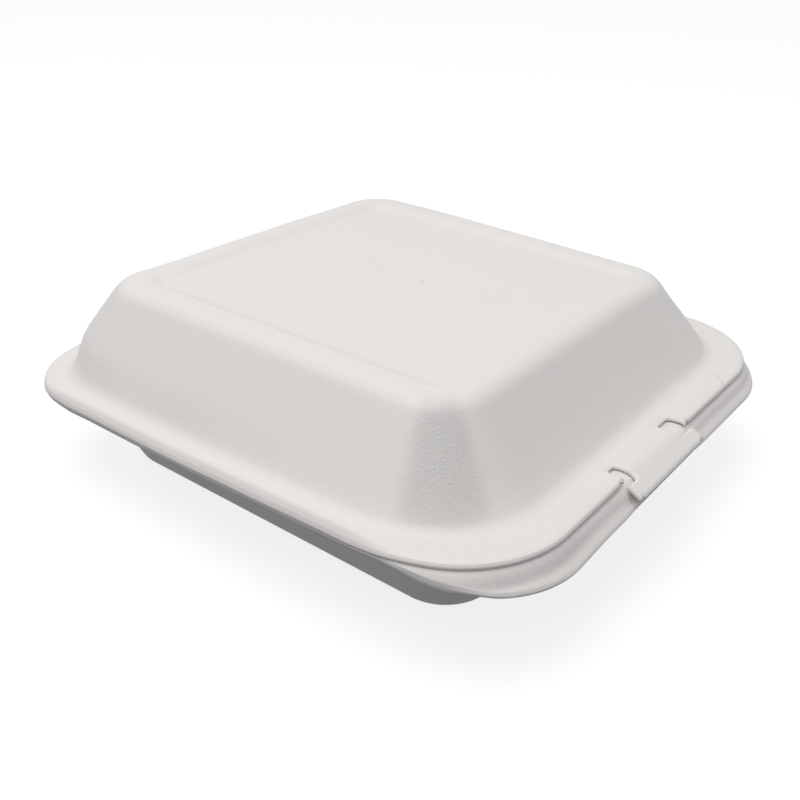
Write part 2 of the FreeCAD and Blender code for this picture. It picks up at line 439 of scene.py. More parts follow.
@dataclass
class SkinGrid:
    """A skin as a closed ring of stations by rows, with cells left out.

    Its cut edges are rounded, and lean back under the sheet by what upright leaves of a right angle.
    """

    points: np.ndarray
    lean: np.ndarray
    outward: np.ndarray
    cells: np.ndarray
    upright: float
    bend: float = 1.25
    thickness: float = SHEET
    swell: float = EDGE_SWELL
    rings: tuple[tuple[float, float], ...] = ((0.13, 0.68), (0.5, 1.0), (0.87, 0.68))

    def normals(self) -> np.ndarray:
        """Upward normals of the top, from the section's lean."""
        flat = -np.sin(self.lean)[..., None] * self.outward[:, None, :]
        return np.concatenate([flat, np.cos(self.lean)[..., None]], 2)

    def build(self, name: str) -> bpy.types.Object:
        """Make the mesh: top, underside and rounded cut edges.

        Args:
            name: The piece's name.

        Returns:
            The new object.
        """
        columns, rows = self.lean.shape
        normal = self.normals()
        under = self.points - normal * self.thickness
        index = np.arange(columns * rows).reshape(columns, rows)
        ahead = np.roll(index, -1, 0)
        quads = np.stack([index[:, :-1], index[:, 1:], ahead[:, 1:], ahead[:, :-1]], 2)
        quads = quads[self.cells]
        edges = np.stack([quads, np.roll(quads, -1, 1)], 2).reshape(-1, 2)
        code = edges[:, 0].astype(np.int64) * (columns * rows) + edges[:, 1]
        back = edges[:, 1].astype(np.int64) * (columns * rows) + edges[:, 0]
        rim = edges[~np.isin(code, back)]
        rim = rim[~((rim[:, 0] % rows == 0) & (rim[:, 1] % rows == 0))]
        flat_points = self.points.reshape(-1, 3)
        flat_normals = normal.reshape(-1, 3)
        along = flat_points[rim[:, 1]] - flat_points[rim[:, 0]]
        along /= np.maximum(np.linalg.norm(along, axis=1), 1e-9)[:, None]
        out = np.zeros_like(flat_points)
        for end in (0, 1):
            np.add.at(out, rim[:, end], np.cross(along, flat_normals[rim[:, end]]))
        out[:, 2] = 0.0
        size = np.linalg.norm(out, axis=1)
        out[size > 0] /= size[size > 0][:, None]
        edge = np.unique(rim)
        spot = np.full(columns * rows, -1)
        spot[edge] = np.arange(len(edge))
        total = columns * rows
        top, low = flat_points.copy(), under.reshape(-1, 3).copy()
        lean = np.abs(self.lean.reshape(-1)[edge])
        reach = self.thickness * np.sin(lean) * self.upright
        low[edge, :2] += np.repeat(self.outward, rows, 0)[edge] * reach[:, None]
        low[edge, 2] -= reach * np.tan(lean * self.bend)
        top[edge] -= flat_normals[edge] * EDGE_DROP
        low[edge] += flat_normals[edge] * EDGE_DROP * 0.4
        blocks = [top, low]
        for share, bulge in self.rings:
            level = top[edge] * (1 - share) + low[edge] * share
            blocks.append(level + out[edge] * (self.swell * bulge))
        p, q = spot[rim[:, 0]], spot[rim[:, 1]]
        ring_count = len(self.rings)
        levels = [rim] + [2 * total + k * len(edge) + np.stack([p, q], 1) for k in range(ring_count)]
        levels.append(rim + total)
        faces = [quads, (quads + total)[:, ::-1]]
        for upper, lower in zip(levels, levels[1:]):
            faces.append(np.stack([upper[:, 1], upper[:, 0], lower[:, 0], lower[:, 1]], 1))
        inner, ahead_inner = index[:, 0], ahead[:, 0]
        hub = sum(len(block) for block in blocks)
        blocks.append(np.stack([self.points[:, 0].mean(0), under[:, 0].mean(0)]))
        fans = [(a, b, hub) for a, b in zip(inner.tolist(), ahead_inner.tolist())]
        fans += [(b + total, a + total, hub + 1) for a, b, _ in fans]
        return make_mesh(name, np.concatenate(blocks), np.concatenate(faces).tolist() + fans)


def make_mesh(name: str, points: np.ndarray, faces: list) -> bpy.types.Object:
    """Make a smooth mesh object, without points that no face uses.

    Args:
        name: The piece's name.
        points: Vertex places in metres.
        faces: The vertex numbers of each face.

    Returns:
        The new object, linked to the scene.
    """
    used = np.unique(np.concatenate([np.ravel(face) for face in faces]))
    number = np.zeros(len(points), int)
    number[used] = np.arange(len(used))
    numbers = number.tolist()
    mesh = bpy.data.meshes.new(name)
    mesh.from_pydata(points[used].tolist(), [], [[numbers[v] for v in face] for face in faces])
    mesh.polygons.foreach_set("use_smooth", np.ones(len(mesh.polygons), bool))
    mesh.update()
    piece = bpy.data.objects.new(name, mesh)
    bpy.context.scene.collection.objects.link(piece)
    return piece


def ripple(x: np.ndarray, y: np.ndarray, z: np.ndarray, pitch: float, seed: float) -> np.ndarray:
    """A soft wave without a visible repeat.

    Args:
        x: Places across.
        y: Places along.
        z: Heights.
        pitch: Rough length of a wave.
        seed: Shifts the wave.

    Returns:
        Numbers from about -1 to 1.
    """
    k = 2 * math.pi / pitch
    a = np.sin(k * (0.83 * x + 0.41 * y) + seed)
    b = np.sin(k * (-0.37 * x + 0.92 * y + 0.6 * z) + 1.7 * seed)
    c = np.sin(k * 1.7 * (0.55 * x - 0.62 * y + 0.4 * z) + 2.9 * seed)
    return (a + b + 0.6 * c) / 2.6


@dataclass
class Shell:
    """What both halves share: a bowl and a rim, joined by a flat flange."""

    half: Half
    stations: Stations
    centres: Centres
    outline: Outline
    bowl: Profile
    rim: Profile
    latch: Profile
    first_run: float
    cove_end: float
    rim_rows: np.ndarray
    latch_rows: np.ndarray
    fillets: list[Fillet] = field(default_factory=list)
    panel_rings: int = 9
    upright: float = 0.3
    stretch_turn: float = 0.15
    stretch_power: float = 2.5
    stretch_rest: float = 0.3
    turn: float = math.radians(7.0)
    step: float = 0.0034

    def rows(self) -> tuple[np.ndarray, np.ndarray, np.ndarray, np.ndarray]:
        """Lay out the grid of the top.

        Returns:
            Points, lean, run from the rim's centres, and whether a point is in a row beyond the flange.
        """
        stations = self.stations
        points, leans, runs = [], [], []
        shape = stations.angle.shape

        def add(plan: np.ndarray, height: np.ndarray, lean: np.ndarray, run: np.ndarray) -> None:
            """Add one row of the grid.

            Args:
                plan: Places across and along, one for each station.
                height: The row's height.
                lean: The section's slope, in radians.
                run: Run from the rim's centres.
            """
            points.append(np.concatenate([plan, np.broadcast_to(height, shape)[:, None]], 1))
            leans.append(np.broadcast_to(lean, shape))
            runs.append(np.broadcast_to(run, shape))

        bowl_runs = self.bowl.rows(self.first_run, self.cove_end, self.turn, self.step)
        first = stations.place(self.centres, stations.bowl_x, np.full(shape, bowl_runs[0]))
        middle = np.array([0.0, (self.centres.front_y + self.centres.back_y) / 2])
        height, _ = self.bowl.at(bowl_runs[:1])
        for share in np.linspace(0.02, 1.0, self.panel_rings + 1)[:-1]:
            add(middle + (first - middle) * share, height[0], 0.0, 0.0)
        heights, slopes = self.bowl.at(bowl_runs)
        for run, level, lean in zip(bowl_runs, heights, slopes):
            add(stations.place(self.centres, stations.bowl_x, np.full(shape, run)), level, lean, 0.0)
        start = stations.place(self.centres, stations.bowl_x, np.full(shape, self.cove_end))
        inner = self.rim_rows[self.rim_rows < RIM_START]
        outer = self.rim_rows[self.rim_rows >= RIM_START]
        end = stations.place(RIM_CENTRES, stations.rim_x, np.full(shape, RIM_START))
        front_run = RIM_CENTRES.front_y - (self.centres.front_y - self.cove_end)
        flat_height = self.rim.at(np.array([RIM_START]))[0][0]
        for run in inner:
            share = (run - front_run) / (RIM_START - front_run)
            plan = start + (end - start) * share
            nominal = front_run + (RIM_START - front_run) * share
            add(plan, flat_height, 0.0, nominal)
        reach = stations.reach(self.outline)
        nominal_end = self.rim_rows[-1]
        for run in outer:
            real = RIM_START + (run - RIM_START) / (nominal_end - RIM_START) * (reach - RIM_START)
            level, lean = self.rim.at(real)
            add(stations.place(RIM_CENTRES, stations.rim_x, real), level, lean, real)
        beyond = len(points)
        for run in self.latch_rows:
            real = np.full(shape, run)
            add(stations.place(RIM_CENTRES, stations.rim_x, real), flat_height, 0.0, real)
        is_beyond = np.arange(len(points)) >= beyond
        return np.stack(points, 1), np.stack(leans, 1).copy(), np.stack(runs, 1).copy(), is_beyond

    def shape_latch(self, points: np.ndarray, lean: np.ndarray, run: np.ndarray, beyond: np.ndarray) -> None:
        """Give the points round the latch their section and round the cut-outs' corners.

        Args:
            points: The grid's points, changed in place.
            lean: The grid's leans, changed in place.
            run: Runs from the rim's centres, changed in place.
            beyond: Which rows lie beyond the flange.
        """
        x = np.repeat(self.stations.latch_x[:, None], run.shape[1], 1)
        near = (np.abs(x) < LATCH_ZONE) & (run > SLOT_RUN - 0.003)
        for fillet in self.fillets:
            new_x, new_run = fillet.bend(x, run)
            x = np.where(near, new_x, x)
            run[:] = np.where(near, new_run, run)
        weight = self.latch_weight(x, run, beyond)
        level_rim, lean_rim = self.rim.at(run)
        level_latch, lean_latch = self.latch.at(run)
        level = level_rim * (1 - weight) + level_latch * weight
        points[..., 2] = np.where(near, level, points[..., 2])
        lean[:] = np.where(near, lean_rim * (1 - weight) + lean_latch * weight, lean)
        points[..., 0] = np.where(near, x + LATCH_X, points[..., 0])
        points[..., 1] = np.where(near, RIM_CENTRES.front_y - run, points[..., 1])

    def latch_weight(self, x: np.ndarray, run: np.ndarray, beyond: np.ndarray) -> np.ndarray:
        """How far each point follows the latch's section rather than the rim's."""
        raise NotImplementedError

    def cells(self, run: np.ndarray, beyond: np.ndarray) -> np.ndarray:
        """Which cells of the grid exist."""
        raise NotImplementedError

    def settle(self, points: np.ndarray) -> np.ndarray:
        """Where the soft foam gives, as an offset for each point."""
        raise NotImplementedError

    def make(self, name: str) -> bpy.types.Object:
        """Build the half as one closed mesh that rides on its body.

        Args:
            name: The piece's name.

        Returns:
            The finished piece.
        """
        points, lean, run, beyond = self.rows()
        cells = self.cells(run, beyond)
        self.shape_latch(points, lean, run, beyond)
        angle = self.stations.angle
        outward = np.stack([np.cos(angle), np.sin(angle)], 1)
        piece = SkinGrid(points, lean, outward, cells, self.upright).build(name)
        mesh = piece.data
        flat = np.zeros(len(mesh.vertices) * 3)
        mesh.vertices.foreach_get("co", flat)
        places = flat.reshape(-1, 3)
        places = places + self.settle(places)
        mesh.vertices.foreach_set("co", places.ravel())
        self.mark_stretch(mesh, places)
        mesh.update()
        return piece

    def mark_stretch(self, mesh: bpy.types.Mesh, places: np.ndarray) -> None:
        """Note where the foam was drawn thin, at the corners of the wall. The materials give it orange peel
        and more gloss there, and darken its colour there as painted shade, most at the near corner.

        Args:
            mesh: The half's mesh, which gets the attribute.
            places: Vertex places.
        """
        over_x = np.abs(places[:, 0]) - self.centres.half_x
        front, back = self.centres.front_y, self.centres.back_y
        over_y = np.maximum(front - places[:, 1], places[:, 1] - back)
        reach = np.hypot(np.maximum(over_x, 0.0), np.maximum(over_y, 0.0))
        bias = np.arctan2(np.maximum(over_y, 0.0), np.maximum(over_x, 1e-6))
        drawn = smooth(np.sin(2 * bias + self.stretch_turn), 0.25, 1.00) ** self.stretch_power
        at_near_corner = (places[:, 0] < 0) & (places[:, 1] < 0)
        wall = smooth(reach, 0.0100, 0.026) * smooth(reach, 0.048, 0.04)
        value = (drawn * np.where(at_near_corner, 1.0, self.stretch_rest) * wall).astype(np.float32)
        layer = mesh.attributes.new("stretch", "FLOAT", "POINT")
        layer.data.foreach_set("value", value)


@dataclass
class LidShell(Shell):
    """Lid: recessed panel, crest, wall, flange with two slots and a tongue."""

    edge_lower: float = 0.0002
    right_lift: float = 0.0004
    left_lift: float = 0.0005
    lift_overlap: float = 0.0022
    wave: float = 0.00018
    flange_wave: float = 0.00010

    @classmethod
    def designed(cls, stations: Stations) -> "LidShell":
        """Set out the lid from its sizes.

        Args:
            stations: Places round the container.

        Returns:
            The lid, ready to be made.
        """
        crest, land, slope_run, depth, slope_radius = 0.0135, 0.0025, 0.0045, 0.002, 0.0113
        shoulder_radius, wall_reach, cove = 0.0105, 0.026, 0.007
        slope = math.atan2(HEIGHT - FLANGE_TOP, wall_reach)
        shoulder = crest + shoulder_radius * math.tan(slope / 2)
        inner_top = crest - land - slope_radius * math.tan(math.atan2(depth, slope_run) / 2)
        foot = shoulder + wall_reach
        chain = [
            (0.0, HEIGHT - depth, 0.0),
            (inner_top - slope_run, HEIGHT - depth, FOLD_RADIUS),
            (inner_top, HEIGHT, FOLD_RADIUS),
            (shoulder, HEIGHT, shoulder_radius),
            (foot, FLANGE_TOP, cove),
            (foot + 0.02, FLANGE_TOP, 0.0),
        ]
        centres = Centres(BOWL_HALF_X, -0.0598, 0.0755)
        outline = Outline(
            HALF_WIDTH - EDGE_SWELL, LID_FRONT + EDGE_SWELL, RIM_BACK - EDGE_SWELL, RIM_RADIUS - EDGE_SWELL
        )
        above = -FIT_GAP - SHEET
        last = RIM_RADIUS - EDGE_SWELL
        rows = np.concatenate([
            np.arange(0.0370, 0.0401, 0.0005), np.linspace(RIM_START, 0.043, 4),
            np.linspace(0.0434, last, 5),
        ])
        latch_rows = np.concatenate([
            np.linspace(EAR_RUN + EDGE_SWELL, 0.0491, 6), [0.0497],
            np.linspace(0.0503, TONGUE_RUN - EDGE_SWELL, 5),
        ])
        edge = EDGE_SWELL
        fillets = [
            Fillet(NECK_LEFT + edge, SLOT_RUN, -1, 1, 0.0025, True),
            Fillet(NECK_RIGHT - edge, SLOT_RUN, 1, 1, 0.0025, True),
            Fillet(NECK_LEFT + edge, EAR_RUN + edge, -1, -1, 0.0022, True),
            Fillet(NECK_RIGHT - edge, EAR_RUN + edge, 1, -1, 0.0040, True),
        ]
        for side in (-1, 1):
            fillets += [
                Fillet(side * (SLOT_HALF + edge), SLOT_RUN, -side, 1, 0.0030, True),
                Fillet(side * (SLOT_HALF + edge), last, side, -1, 0.0035, False),
                Fillet(side * (EAR_HALF - edge), EAR_RUN + edge, -side, 1, 0.0022, False),
                Fillet(side * (EAR_HALF - edge), TONGUE_RUN - edge, -side, -1, 0.0022, False),
            ]
        bowl = Profile(chain)
        return cls(
            Half.LID, stations, centres, outline, bowl, Profile(parallel(rim_chain(), above)),
            Profile(parallel(saddle_chain(), above)), 0.0035,
            foot + cove * math.tan(slope / 2) + 0.0001, rows, latch_rows, fillets, upright=0.5,
        )

    def latch_weight(self, x: np.ndarray, run: np.ndarray, beyond: np.ndarray) -> np.ndarray:
        """The tongue's neck and ears follow the saddle, and the flange follows the rim."""
        neck = (x > NECK_LEFT - 0.0026) & (x < NECK_RIGHT + 0.0042) & (run > SLOT_RUN)
        return np.where(neck | beyond[None, :], 1.0, 0.0)

    def cells(self, run: np.ndarray, beyond: np.ndarray) -> np.ndarray:
        """Leave out the two slots and what lies outside the tongue.

        Args:
            run: Runs from the rim's centres.
            beyond: Which rows lie beyond the flange.

        Returns:
            Which cells exist, by station and row.
        """
        x = self.stations.latch_x
        centre = (x + np.roll(x, -1)) / 2
        inside = self.stations.front & np.roll(self.stations.front, -1)
        off = np.where(inside, np.abs(centre), 1.0)
        neck = inside & (centre > NECK_LEFT) & (centre < NECK_RIGHT)
        middle = (run[0, :-1] + run[0, 1:]) / 2
        slot = (~neck & (off < SLOT_HALF))[:, None] & (middle[None, :] > SLOT_RUN)
        outside = beyond[1:][None, :] & ~neck[:, None]
        ear = (off[:, None] < EAR_HALF) & (beyond[:-1] & beyond[1:])[None, :]
        return ~(slot & ~beyond[1:][None, :]) & (~outside | ear)

    def settle(self, points: np.ndarray) -> np.ndarray:
        """The crest sags and shifts at three corners, and the flange stands up beside the slots.

        Args:
            points: Vertex places.

        Returns:
            One offset for each point.
        """
        x, y, z = points.T
        spots = spots_of(points)
        offset = flange_sag(spots)
        for give in LID_GIVES:
            offset += give.moved(spots)
        from_latch = x - LATCH_X
        beside = np.where(y < -0.080, smooth(np.abs(from_latch), SLOT_HALF, LATCH_ZONE), 1.0)
        rim = smooth(spots["run"], 0.0418, 0.0446) * smooth(z, 0.0500, 0.0490)
        offset[:, 2] -= self.edge_lower * rim * beside
        out = smooth(RIM_CENTRES.front_y - y, 0.0352, 0.046) * (z < 0.0515)
        offset[:, 2] += self.lifted(from_latch, 0.066) * out * self.right_lift
        offset[:, 2] += self.lifted(-from_latch, 0.045) * out * self.left_lift
        flange = smooth(z, 0.0545, 0.0490)
        offset[:, 2] += (ripple(x, y, z, 0.085, 0.4) - 1.0) * self.wave * (1 - flange)
        away = flange * smooth(np.abs(x), 0.03, 0.06)
        offset[:, 2] += ripple(x, y, z, 0.042, 2.2) * self.flange_wave * away
        return offset

    def lifted(self, beside: np.ndarray, end: float) -> np.ndarray:
        """Where the flange stands up next to a slot.

        Args:
            beside: Distances from the latch's middle, toward this slot.
            end: Where the flange lies flat again.

        Returns:
            A share from 0 to 1 for each point.
        """
        fade = 1.0 - smooth(beside, SLOT_HALF, end)
        return np.where(beside > SLOT_HALF - self.lift_overlap, fade, 0.0)


@dataclass
class BaseShell(Shell):
    """Base: raised floor, foot ring, wall, flange with its lip and a saddle."""

    saddle_inner: float = 0.85
    saddle_fall: float = 0.70
    lip_wave: float = 0.0003

    @classmethod
    def designed(cls, stations: Stations) -> "BaseShell":
        """Set out the base from its sizes.

        Args:
            stations: Places round the container.

        Returns:
            The base, ready to be made.
        """
        foot, heel_radius, wall_reach, cove = 0.0151, 0.007, 0.0217, 0.004
        land, rise, slope_run, slope_radius = 0.005, 0.0018, 0.005, 0.009
        slope = math.atan2(BASE_HEIGHT - SHEET, wall_reach)
        heel = foot + heel_radius * math.tan(slope / 2)
        ring = foot - land - slope_radius * math.tan(math.atan2(rise, slope_run) / 2)
        mouth = heel + wall_reach
        under = [
            (0.0, rise, 0.0),
            (ring - slope_run, rise, slope_radius),
            (ring, 0.0, slope_radius),
            (heel, 0.0, heel_radius),
            (mouth, BASE_HEIGHT - SHEET, cove),
            (mouth + 0.02, BASE_HEIGHT - SHEET, 0.0),
        ]
        centres = Centres(BOWL_HALF_X, -0.0661, 0.0759)
        outline = Outline(
            HALF_WIDTH - 0.0005 - EDGE_SWELL, LIP_FRONT + EDGE_SWELL, RIM_BACK - EDGE_SWELL,
            RIM_RADIUS - EDGE_SWELL,
        )
        last = RIM_EDGE - EDGE_SWELL
        rows = np.concatenate([
            [0.0385], np.linspace(RIM_START, 0.0430, 4), np.linspace(0.0435, 0.0468, 8), [0.0472],
            np.linspace(RIM_EDGE - SLIT_DEPTH + 0.0004, last, 7),
        ])
        chain = parallel(under, -SHEET)
        tangent = (cove + SHEET) * math.tan(slope / 2)
        return cls(
            Half.BASE, stations, centres, outline, Profile(chain), Profile(rim_chain()),
            Profile(saddle_chain()), 0.0005, chain[4][0] + tangent + 0.0001, rows, np.zeros(0),
        )

    def latch_weight(self, x: np.ndarray, run: np.ndarray, beyond: np.ndarray) -> np.ndarray:
        """The lip rises softly to the saddle, and steps down at the two slits."""
        return self.saddle_share(x) * (self.saddle_inner - self.saddle_fall * smooth(run, 0.0460, 0.0500))

    @staticmethod
    def saddle_share(x: np.ndarray) -> np.ndarray:
        """How much of the saddle stands at a place across from the latch's middle."""
        return smooth(np.abs(x), LATCH_ZONE, SADDLE_HALF)

    def cells(self, run: np.ndarray, beyond: np.ndarray) -> np.ndarray:
        """Leave out the two slits in the lip's edge.

        Args:
            run: Runs from the rim's centres.
            beyond: Which rows lie beyond the flange.

        Returns:
            Which cells exist, by station and row.
        """
        x = self.stations.latch_x
        centre = np.abs((x + np.roll(x, -1)) / 2)
        inside = self.stations.front & np.roll(self.stations.front, -1)
        slit = inside & (centre > SADDLE_HALF) & (centre < SADDLE_HALF + SLIT_WIDTH)
        middle = (run[0, :-1] + run[0, 1:]) / 2
        return ~(slit[:, None] & (middle[None, :] > RIM_EDGE - SLIT_DEPTH))

    def settle(self, points: np.ndarray) -> np.ndarray:
        """The flange droops with the lid's at the left, and the lip hangs at the near corner.

        Args:
            points: Vertex places.

        Returns:
            One offset for each point.
        """
        x, y, z = points.T
        spots = spots_of(points)
        offset = flange_sag(spots)
        for give in BASE_GIVES:
            offset += give.moved(spots)
        off_saddle = 1 - self.saddle_share(x - LATCH_X)
        offset += FRONT_LIP.moved(spots) * off_saddle[:, None]
        lip = smooth(-y, 0.1155, 0.1235) * smooth(z, 0.0461, 0.0435)
        offset[:, 2] += ripple(x, y, z, 0.05, 1.1) * self.lip_wave * lip
        return offset


def rim_run(x: np.ndarray, y: np.ndarray) -> np.ndarray:
    """Distance outward from the rectangle of the rim's corner centres.

    Args:
        x: Places across.
        y: Places along.

    Returns:
        One run for each point.
    """
    across = np.maximum(np.abs(x) - RIM_CENTRES.half_x, 0.0)
    along = np.maximum(np.maximum(RIM_CENTRES.front_y - y, y - RIM_CENTRES.back_y), 0.0)
    return np.hypot(across, along)


def spots_of(points: np.ndarray) -> dict[str, np.ndarray]:
    """Name the measures by which a give is bounded.

    Args:
        points: Vertex places.

    Returns:
        Places across, along and up, and the run from the rim's centres.
    """
    x, y, z = points.T
    return {"x": x, "y": y, "z": z, "run": rim_run(x, y)}


Bound = tuple[str, float, float]


@dataclass(frozen=True)
class Give:
    """One place where the soft foam gives: how far, and the soft steps that bound it."""

    shift: tuple[float, float, float]
    bounds: tuple[Bound, ...]

    def moved(self, spots: dict[str, np.ndarray]) -> np.ndarray:
        """How far each point moves.

        Args:
            spots: The points' measures by name.

        Returns:
            One offset for each point.
        """
        share = np.ones(len(spots["x"]))
        for name, low, high in self.bounds:
            share = share * smooth(spots[name], low, high)
        return share[:, None] * np.array(self.shift)


FLANGE_LEVEL: tuple[Bound, ...] = (("z", 0.0600, 0.0475), ("z", 0.0340, 0.0420))
LEFT_EDGE: tuple[Bound, ...] = (("x", -0.080, -0.105), ("y", -0.092, -0.060))
CREST_LEVEL: tuple[Bound, ...] = (("z", 0.055, 0.078),)

# Both flanges: droop along the left, deeper at the far left corner and at the very edge.
SIDE_DROOP = Give((0.0, 0.0, -0.0032), FLANGE_LEVEL + (("y", -0.085, 0.045), ("x", -0.090, -0.114)))
CORNER_DROOP = Give((0.0, 0.0, -0.0048), FLANGE_LEVEL + (("y", 0.060, 0.115), ("x", -0.040, -0.090)))
FLANGE_GIVES = (
    Give((0.0, 0.0, -0.0030), FLANGE_LEVEL + LEFT_EDGE + (("run", 0.0418, 0.0458),)),
    Give((0.0, 0.0030, 0.0), FLANGE_LEVEL + (("x", -0.078, -0.105), ("y", 0.060, 0.100))),
    Give((-0.0016, 0.0, 0.0), FLANGE_LEVEL + (("x", -0.090, -0.108), ("y", 0.084, 0.104))),
)
# Lid: the crest sags at the right front, is full at the far left and drawn in at the far right.
LID_GIVES = (
    Give((0.0, 0.0, -0.0021), CREST_LEVEL + (("x", 0.030, 0.085), ("y", 0.020, -0.075))),
    Give((-0.0010, 0.0029, 0.0), (("z", 0.050, 0.060), ("x", -0.045, -0.085), ("y", 0.055, 0.095))),
    Give((0.0024, 0.0, 0.0), CREST_LEVEL + (("x", 0.045, 0.083), ("y", 0.000, 0.055))),
    Give((0.0, -0.0022, 0.0), CREST_LEVEL + (("x", 0.015, 0.065), ("y", 0.060, 0.092))),
)
# Base: the lip hangs along the left and at the near corner, and its slope is full at the front.
BASE_GIVES = (
    Give((0.0, 0.0, -0.0014), LEFT_EDGE + (("run", 0.0418, 0.0440), ("z", 0.0446, 0.0430))),
    Give((0.0, 0.0, -0.0015), (
        ("x", -0.045, -0.080), ("x", -0.114, -0.100), ("y", -0.090, -0.112), ("z", 0.0455, 0.0400),
    )),
)
FRONT_LIP = Give((0.0, 0.0, 0.0010), (
    ("run", 0.0448, 0.0466), ("run", 0.0502, 0.0478), ("y", -0.090, -0.110),
))


def flange_sag(spots: dict[str, np.ndarray]) -> np.ndarray:
    """How both flanges sag along the left side and spread at its far corner.

    Args:
        spots: The points' measures by name.

    Returns:
        One offset for each point.
    """
    side, corner = SIDE_DROOP.moved(spots)[:, 2], CORNER_DROOP.moved(spots)[:, 2]
    offset = np.zeros((len(side), 3))
    offset[:, 2] = -np.hypot(side, corner)
    for give in FLANGE_GIVES:
        offset += give.moved(spots)
    return offset


@dataclass(frozen=True)
class Crease:
    """The thin pressed strip at the back, between both halves."""

    half_length: float = 0.069
    inner_y: float = RIM_BACK
    depth: float = 0.0006
    height: float = 0.0015
    columns: int = 140
    levels: int = 7
    crown_share: float = 0.4
    wrinkle_share: float = 0.08

    def make(self, name: str) -> bpy.types.Object:
        """Build the strip as a closed, slightly crowned band.

        Args:
            name: The piece's name.

        Returns:
            The strip, not yet on its bodies.
        """
        middle = BASE_HEIGHT + FIT_GAP / 2
        x = np.linspace(-self.half_length, self.half_length, self.columns)
        share = np.linspace(-1.0, 1.0, self.levels)
        z = middle + share * self.height / 2
        crown = 1.0 - self.crown_share * share ** 4
        wrinkle = 1.0 - self.wrinkle_share * (1 + np.sin(x * 1900.0 + 1.7 * np.sin(x * 410.0)))
        outer = self.inner_y + self.depth * crown[None, :] * wrinkle[:, None]
        grid = (self.columns, self.levels)
        across = np.broadcast_to(x[:, None], grid)
        up = np.broadcast_to(z[None, :], grid)
        skin = [np.stack([across, y, up], 2).reshape(-1, 3) for y in (outer, np.full(grid, self.inner_y))]
        index = np.arange(self.columns * self.levels).reshape(grid)
        total = index.size
        a, b, c, d = index[:-1, :-1], index[:-1, 1:], index[1:, 1:], index[1:, :-1]
        front = np.stack([a, b, c, d], 2).reshape(-1, 4)
        loop = np.concatenate([index[:, 0], index[-1, 1:], index[-2::-1, -1], index[0, -2:0:-1]])
        ahead = np.roll(loop, -1)
        wall = np.stack([loop, ahead, ahead + total, loop + total], 1)
        faces = np.concatenate([front, (front + total)[:, ::-1], wall]).tolist()
        return make_mesh(name, np.concatenate(skin), faces)


Value = bpy.types.NodeSocket | float | tuple[float, ...]


class Graph:
    """Wires the nodes of one tree."""

    def __init__(self, tree: bpy.types.NodeTree) -> None:
        """Keep the tree to work in."""
        self.tree = tree

    def node(self, kind: str, **settings: object) -> bpy.types.Node:
        """Add a node.

        Args:
            kind: The node's type.
            settings: Properties to set on it.

        Returns:
            The new node.
        """
        made = self.tree.nodes.new(kind)
        for name, value in settings.items():
            setattr(made, name, value)
        return made

    def feed(self, socket: bpy.types.NodeSocket, value: Value) -> None:
        """Link a socket to another one, or set it to a number.

        Args:
            socket: The input to serve.
            value: Another node's output, or a constant.
        """
        if isinstance(value, bpy.types.NodeSocket):
            self.tree.links.new(value, socket)
        else:
            socket.default_value = value

    def maths(self, operation: str, a: Value, b: Value = 0.0, c: Value = 0.0) -> bpy.types.NodeSocket:
        """One step of arithmetic.

        Args:
            operation: What to do with the numbers.
            a: First number.
            b: Second number.
            c: Third number, where the operation takes one.

        Returns:
            The result.
        """
        made = self.node("ShaderNodeMath", operation=operation)
        for socket, value in zip(made.inputs, (a, b, c)):
            self.feed(socket, value)
        return made.outputs[0]

    def grade(
        self, value: Value, low: float, high: float, start: float = 0.0, end: float = 1.0
    ) -> bpy.types.NodeSocket:
        """Map a range softly to another one.

        Args:
            value: The number to map.
            low: Where the range starts.
            high: Where it ends.
            start: The result at low.
            end: The result at high.

        Returns:
            The mapped number.
        """
        made = self.node("ShaderNodeMapRange", interpolation_type="SMOOTHSTEP")
        names = ("Value", "From Min", "From Max", "To Min", "To Max")
        for name, number in zip(names, (value, low, high, start, end)):
            self.feed(made.inputs[name], number)
        return made.outputs["Result"]

    def mix(self, factor: Value, a: Value, b: Value) -> bpy.types.NodeSocket:
        """Blend two colours.

        Args:
            factor: 0 for the first, 1 for the second.
            a: First colour.
            b: Second colour.

        Returns:
            The blend.
        """
        made = self.node("ShaderNodeMix", data_type="RGBA")
        for name, value in (("Factor", factor), ("A", a), ("B", b)):
            self.feed(next(i for i in made.inputs if i.name == name and i.enabled), value)
        return next(o for o in made.outputs if o.enabled)

    def noise(self, place: Value, scale: Value, detail: float) -> bpy.types.NodeSocket:
        """Soft random numbers over the surface.

        Args:
            place: Coordinates.
            scale: Waves for each metre.
            detail: How many finer layers are added.

        Returns:
            Numbers round 0.5.
        """
        made = self.node("ShaderNodeTexNoise")
        self.feed(made.inputs["Vector"], place)
        self.feed(made.inputs["Scale"], scale)
        self.feed(made.inputs["Detail"], detail)
        return made.outputs[0]

    def cells(self, place: Value, scale: Value) -> bpy.types.Node:
        """Cells like those of foam.

        Args:
            place: Coordinates.
            scale: Cells for each metre.

        Returns:
            The cell node, with its distance and random colour.
        """
        made = self.node("ShaderNodeTexVoronoi")
        self.feed(made.inputs["Vector"], place)
        self.feed(made.inputs["Scale"], scale)
        return made


def new_group(
    name: str, inputs: dict[str, str], outputs: dict[str, str]
) -> tuple[Graph, dict[str, bpy.types.NodeSocket], bpy.types.Node]:
    """Start a shared node group.

    Args:
        name: The group's name.
        inputs: Kind of each input.
        outputs: Kind of each output.

    Returns:
        The graph inside it, its inputs by name, and the node that takes its outputs.
    """
    tree = bpy.data.node_groups.new(name, "ShaderNodeTree")
    for way, sockets in (("INPUT", inputs), ("OUTPUT", outputs)):
        for label, kind in sockets.items():
            tree.interface.new_socket(label, in_out=way, socket_type="NodeSocket" + kind)
    graph = Graph(tree)
    given = graph.node("NodeGroupInput")
    return graph, {label: given.outputs[label] for label in inputs}, graph.node("NodeGroupOutput")


